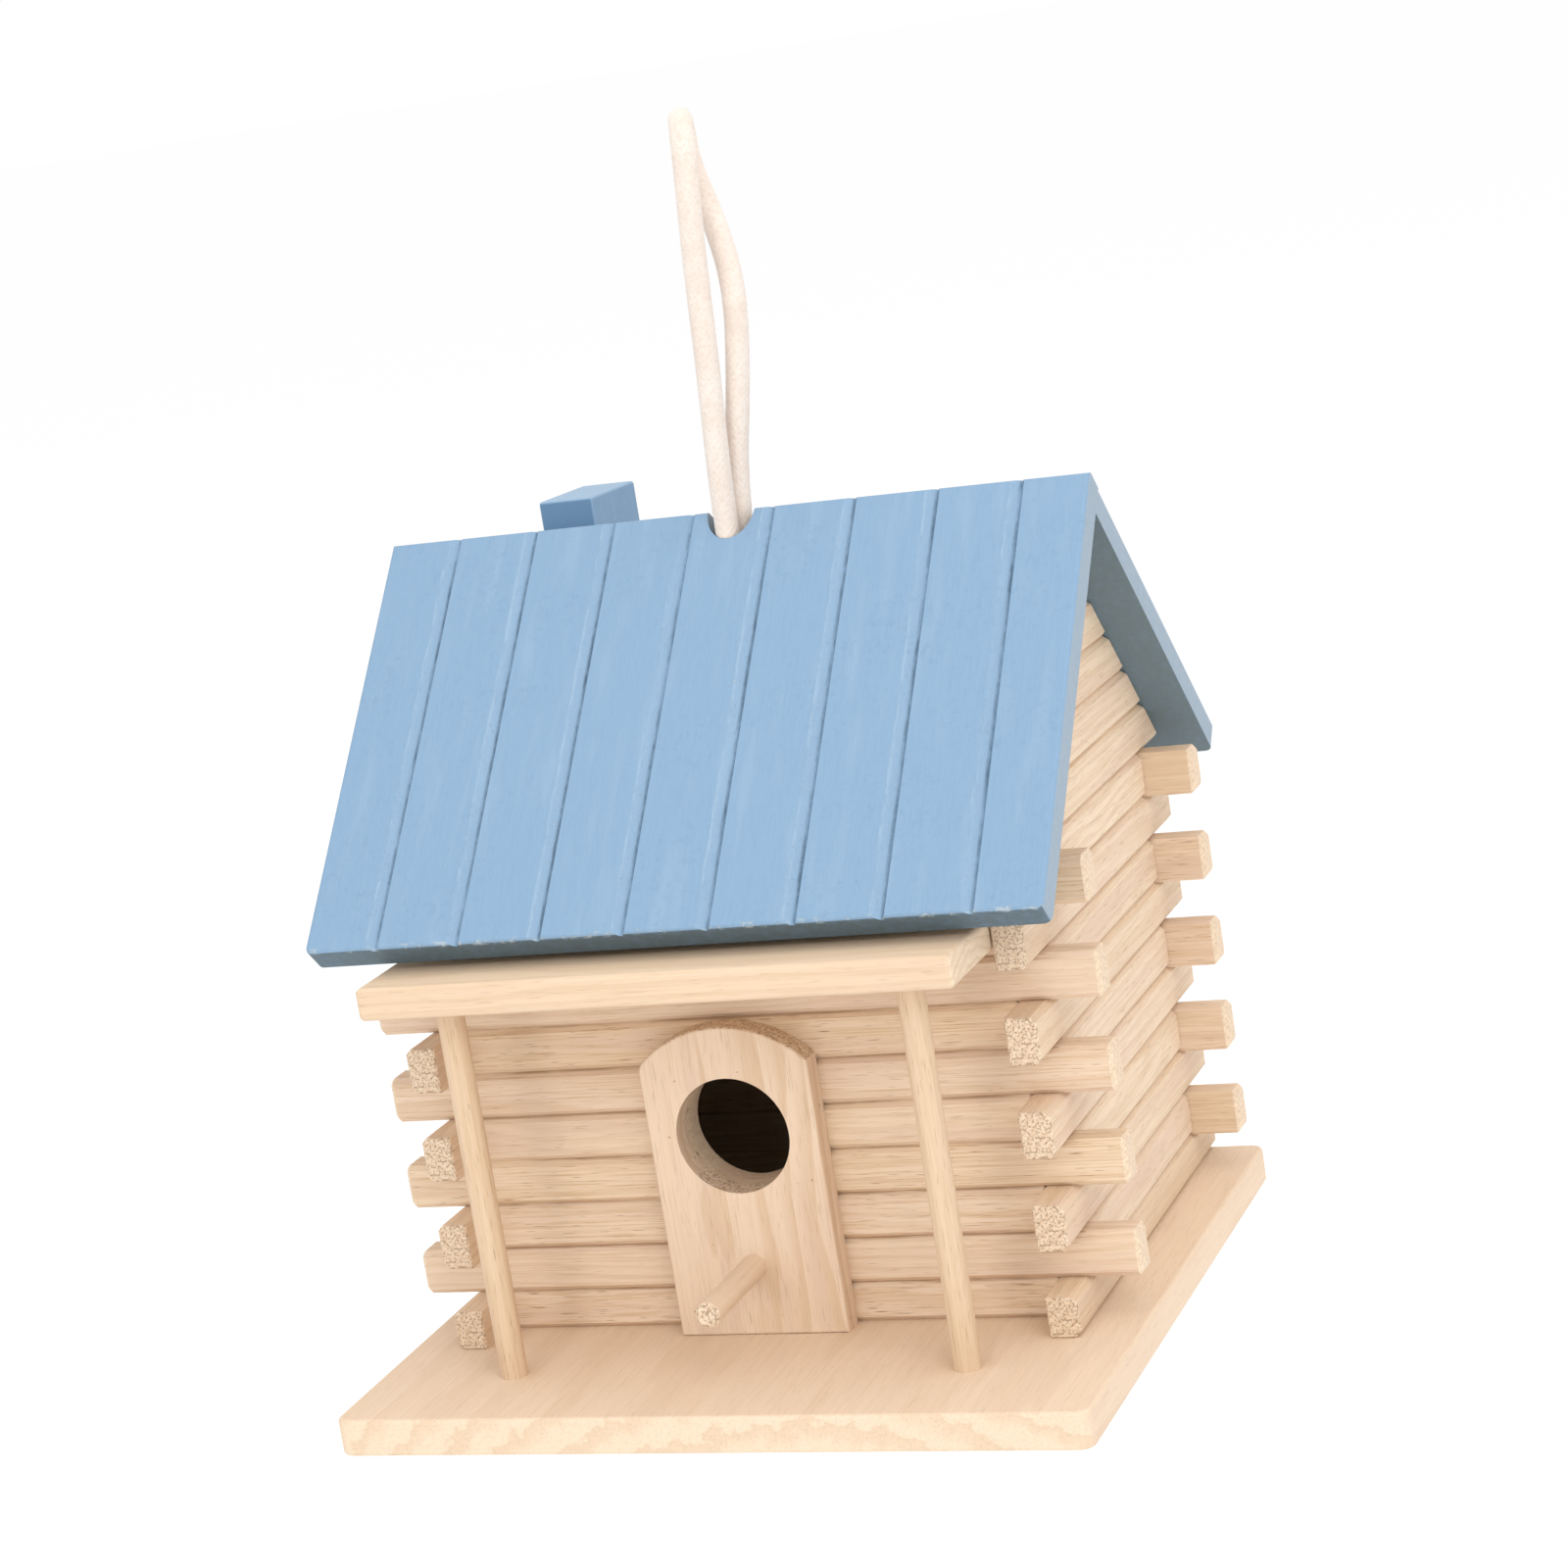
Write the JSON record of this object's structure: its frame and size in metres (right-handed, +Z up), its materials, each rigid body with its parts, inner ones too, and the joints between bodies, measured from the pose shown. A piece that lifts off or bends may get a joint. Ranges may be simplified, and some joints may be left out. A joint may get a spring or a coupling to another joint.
{
  "type": "hanging birdhouse",
  "caption": "Log-cabin birdhouse with a porch, round entrance hole, perch, chimney and painted plank roof, hung from a rope loop.",
  "frame": {"origin": "underside of the rope loop at its top, where a hook holds it", "axes": "+Z up; the door and porch face -Y; +X to the right as seen from the front, along the ridge"},
  "size_m": [0.182, 0.1838, 0.2954],
  "materials": {
    "pine": "bare sanded pine",
    "plywood": "bare sanded plywood",
    "blue_paint": "matte powder-blue paint on wood",
    "cotton_rope": "twisted cotton",
    "steel": "zinc plated"
  },
  "bodies": {
    "house": {"base_board": "pine", "base_brads": "steel", "cover_screws": "steel", "front_log_01": "pine", "front_log_02": "pine", "front_log_03": "pine", "front_log_04": "pine", "front_log_05": "pine", "front_log_06": "pine", "front_log_07": "pine", "front_log_08": "pine", "front_log_09": "pine", "front_log_10": "pine", "front_log_11": "pine", "front_log_12": "pine", "back_log_01": "pine", "back_log_02": "pine", "back_log_03": "pine", "back_log_04": "pine", "back_log_05": "pine", "back_log_06": "pine", "back_log_07": "pine", "back_log_08": "pine", "back_log_09": "pine", "back_log_10": "pine", "back_log_11": "pine", "left_log_01": "pine", "left_log_02": "pine", "left_log_03": "pine", "left_log_04": "pine", "left_log_05": "pine", "left_log_06": "pine", "left_log_07": "pine", "left_log_08": "pine", "left_log_09": "pine", "left_log_10": "pine", "right_log_01": "pine", "right_log_02": "pine", "right_log_03": "pine", "right_log_04": "pine", "right_log_05": "pine", "right_log_06": "pine", "right_log_07": "pine", "right_log_08": "pine", "right_log_09": "pine", "right_log_10": "pine", "left_gable_logs": "pine", "right_gable_logs": "pine", "door_panel": "pine", "perch": "pine", "porch_post_left": "pine", "porch_post_right": "pine", "porch_roof": "pine", "roof_front_panel": "blue_paint", "roof_back_panel": "blue_paint", "chimney": "blue_paint", "hanging_rope": "cotton_rope", "rope_knot": "cotton_rope"},
    "cover": {"cleanout_cover": "plywood"}
  },
  "joints": [
    {"name": "cleanout_swing", "type": "hinge", "parent": "house", "child": "cover", "pos_m": [-0.0364, -0.0215, -0.2862], "axis": [0, 0, 1], "range_deg": [-180, 0]}
  ]
}
